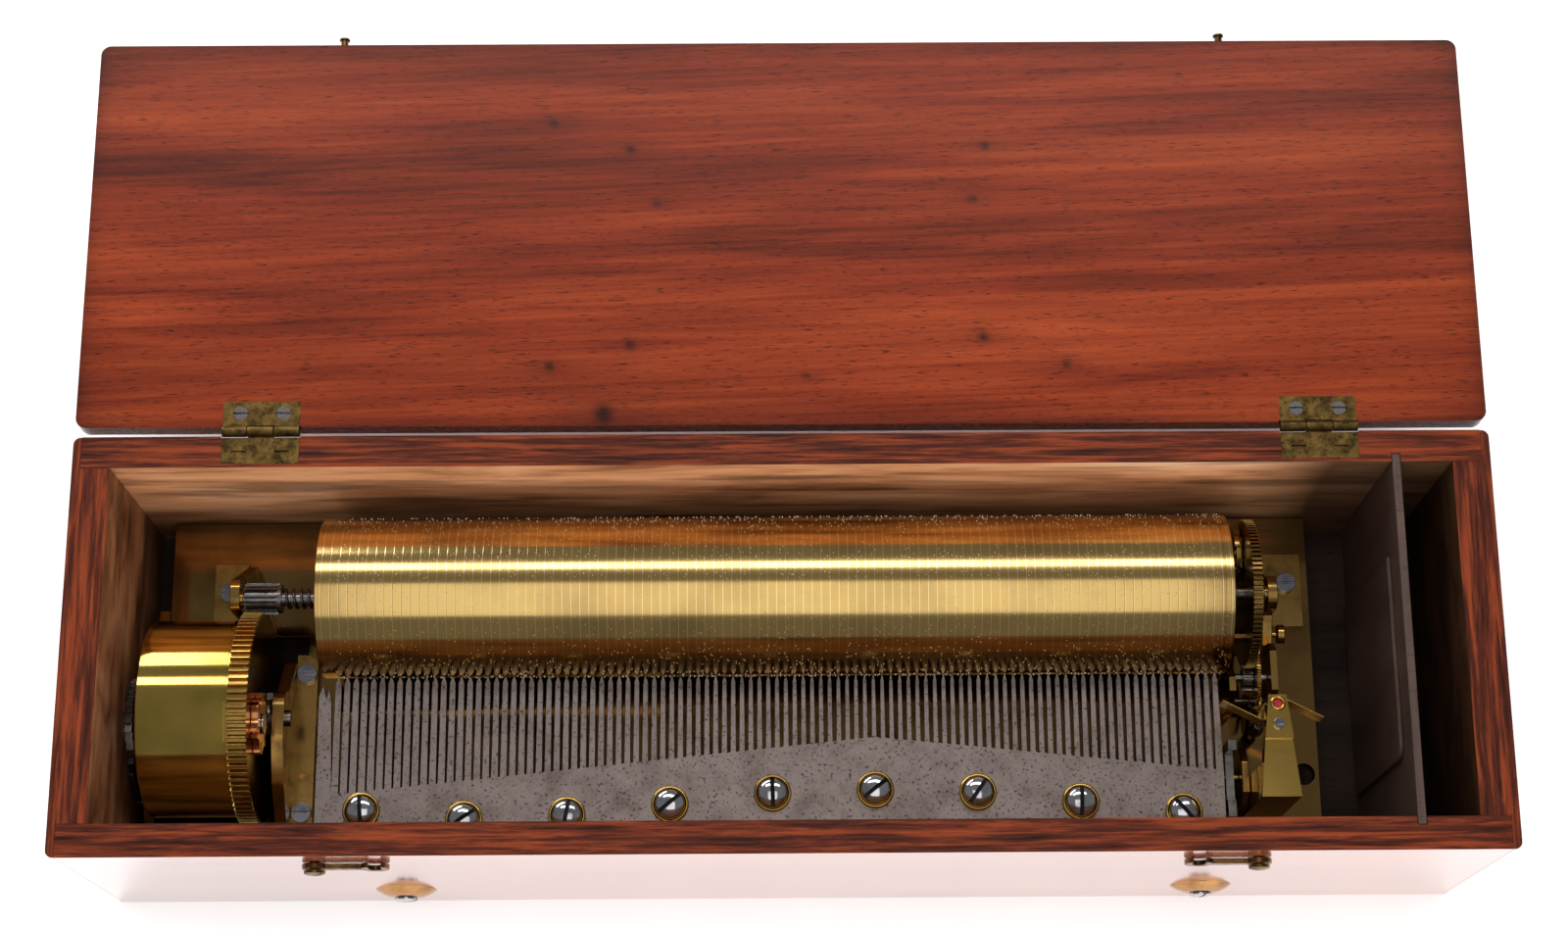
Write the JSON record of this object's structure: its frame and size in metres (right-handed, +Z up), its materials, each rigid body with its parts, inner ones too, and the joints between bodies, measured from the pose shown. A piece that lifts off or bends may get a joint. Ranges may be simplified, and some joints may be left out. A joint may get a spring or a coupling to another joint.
{
  "type": "cylinder music box",
  "caption": "Key-wound cylinder music box in a hinged wooden case: pinned brass cylinder, steel comb, spring barrel and air-brake governor on a brass bedplate.",
  "frame": {"origin": "centre of the case's bottom face", "axes": "+X to the right along the case, +Y to the back where the open lid lies, +Z up"},
  "size_m": [0.41, 0.2532, 0.0897],
  "materials": {
    "case_wood": "varnished, reddish brown",
    "lid_wood": "waxed, reddish brown",
    "partition_wood": "dull, brown",
    "hinge_brass": "aged",
    "hook_brass": "polished",
    "polished_brass": "polished",
    "wheel_brass": "polished",
    "cylinder_brass": "satin, turned",
    "copper": "polished copper colour",
    "screw_steel": "polished",
    "shaft_steel": "satin",
    "spring_steel": "blued grey",
    "comb_steel": "dull, lightly spotted",
    "lead": "dull grey",
    "ruby": "polished",
    "fly_brass": "thin sheet",
    "finger_brass": "satin"
  },
  "bodies": {
    "case": {"case_bottom": "case_wood", "case_front": "case_wood", "case_back": "case_wood", "case_left": "case_wood", "case_right": "case_wood", "partition": "partition_wood", "partition_panel": "partition_wood", "hinge_leaves_case": "hinge_brass", "hinge_pins": "hinge_brass", "hinge_screws_case": "screw_steel", "hook_screws": "screw_steel", "fixing_washers": "polished_brass", "fixing_bolts": "screw_steel", "bedplate": "polished_brass", "comb_base": "polished_brass", "comb": "comb_steel", "comb_leads": "lead", "comb_screws": "screw_steel", "comb_washers": "polished_brass", "bearing_left": "polished_brass", "bearing_right": "polished_brass", "bearing_bushes": "polished_brass", "barrel_bridge": "polished_brass", "barrel_cock": "polished_brass", "movement_screws": "screw_steel", "click_spring": "spring_steel", "governor_frame_left": "polished_brass", "governor_frame_right": "polished_brass", "governor_cock": "polished_brass", "cock_cap": "screw_steel", "endstone": "ruby", "lever_bracket": "polished_brass"},
    "lid_body": {"lid": "lid_wood", "hinge_leaves_lid": "hinge_brass", "hinge_screws_lid": "screw_steel", "lid_studs": "hook_brass"},
    "hook_left_body": {"hook_left": "hook_brass"},
    "hook_right_body": {"hook_right": "hook_brass"},
    "winding_arbor_body": {"winding_arbor": "shaft_steel", "ratchet_wheel": "shaft_steel"},
    "click_body": {"click": "shaft_steel"},
    "barrel": {"barrel_drum": "cylinder_brass", "barrel_wheel": "wheel_brass", "mainspring": "spring_steel", "star_screw": "screw_steel"},
    "stop_star_body": {"stop_star": "copper"},
    "cylinder_arbor_body": {"cylinder_arbor": "shaft_steel", "drive_pinion": "shaft_steel", "cylinder_wheel": "wheel_brass", "return_spring": "spring_steel"},
    "cylinder_body": {"cylinder": "cylinder_brass"},
    "tune_snail_body": {"tune_snail": "wheel_brass"},
    "change_finger_body": {"change_finger": "finger_brass"},
    "first_arbor": {"first_pinion": "shaft_steel", "first_wheel": "wheel_brass"},
    "second_arbor": {"second_pinion": "shaft_steel", "worm_wheel": "wheel_brass"},
    "fly_body": {"endless_screw": "shaft_steel", "fly": "fly_brass"},
    "stop_lever_body": {"stop_lever": "shaft_steel"}
  },
  "joints": [
    {"name": "lid_hinge", "type": "hinge", "parent": "case", "child": "lid_body", "pos_m": [0, 0.0624, 0.0881], "axis": [1, 0, 0], "range_deg": [0, 180]},
    {"name": "hook_left_swing", "type": "hinge", "parent": "case", "child": "hook_left_body", "pos_m": [-0.132, -0.06205, 0.0752], "axis": [0, -1, 0], "range_deg": [-80, 90]},
    {"name": "hook_right_swing", "type": "hinge", "parent": "case", "child": "hook_right_body", "pos_m": [0.1336, -0.06205, 0.0752], "axis": [0, 1, 0], "range_deg": [-80, 90]},
    {"name": "winding", "type": "hinge", "parent": "case", "child": "winding_arbor_body", "pos_m": [-0.1962, -0.01357, 0.0465], "axis": [-1, 0, 0], "range_deg": [0, 1440]},
    {"name": "click_pivot", "type": "hinge", "parent": "case", "child": "click_body", "pos_m": [-0.1924, -0.02926, 0.04079], "axis": [1, 0, 0], "range_deg": [0, 8]},
    {"name": "arbor_spin", "type": "hinge", "parent": "case", "child": "cylinder_arbor_body", "pos_m": [0, 0.0202, 0.057], "axis": [1, 0, 0], "continuous": true},
    {"name": "barrel_spin", "type": "hinge", "parent": "case", "child": "barrel", "pos_m": [-0.1588, -0.01357, 0.0465], "axis": [1, 0, 0], "continuous": true},
    {"name": "stop_star_turn", "type": "hinge", "parent": "barrel", "child": "stop_star_body", "pos_m": [-0.153, -0.01842, 0.06258], "axis": [1, 0, 0], "range_deg": [0, 300]},
    {"name": "cylinder_shift", "type": "slide", "parent": "cylinder_arbor_body", "child": "cylinder_body", "axis": [-1, 0, 0], "range_m": [0, 0.00215], "deforming": ["return_spring"]},
    {"name": "snail_turn", "type": "hinge", "parent": "cylinder_arbor_body", "child": "tune_snail_body", "pos_m": [0.135, 0.0327, 0.057], "axis": [1, 0, 0], "range_deg": [0, 300]},
    {"name": "change_finger_slide", "type": "slide", "parent": "case", "child": "change_finger_body", "axis": [1, 0, 0], "range_m": [0, 0.0025]},
    {"name": "first_spin", "type": "hinge", "parent": "case", "child": "first_arbor", "pos_m": [0.1361, -0.00367, 0.0497], "axis": [1, 0, 0], "continuous": true},
    {"name": "second_spin", "type": "hinge", "parent": "case", "child": "second_arbor", "pos_m": [0.1361, -0.0086, 0.04043], "axis": [1, 0, 0], "continuous": true},
    {"name": "fly_spin", "type": "hinge", "parent": "case", "child": "fly_body", "pos_m": [0.1414, -0.01692, 0.0615], "axis": [0, 0, 1], "continuous": true},
    {"name": "stop_lever_swing", "type": "hinge", "parent": "case", "child": "stop_lever_body", "pos_m": [0.1294, -0.0334, 0.049], "axis": [1, 0, 0], "range_deg": [-6, 8]}
  ],
  "couplings": [
    {"joint": "barrel_spin", "follows": "arbor_spin", "ratio": -0.13043},
    {"joint": "first_spin", "follows": "arbor_spin", "ratio": -6.4286},
    {"joint": "second_spin", "follows": "arbor_spin", "ratio": 38.571},
    {"joint": "fly_spin", "follows": "arbor_spin", "ratio": 578.57},
    {"joint": "snail_turn", "follows": "cylinder_shift", "rad_per_m": 2435.3}
  ]
}
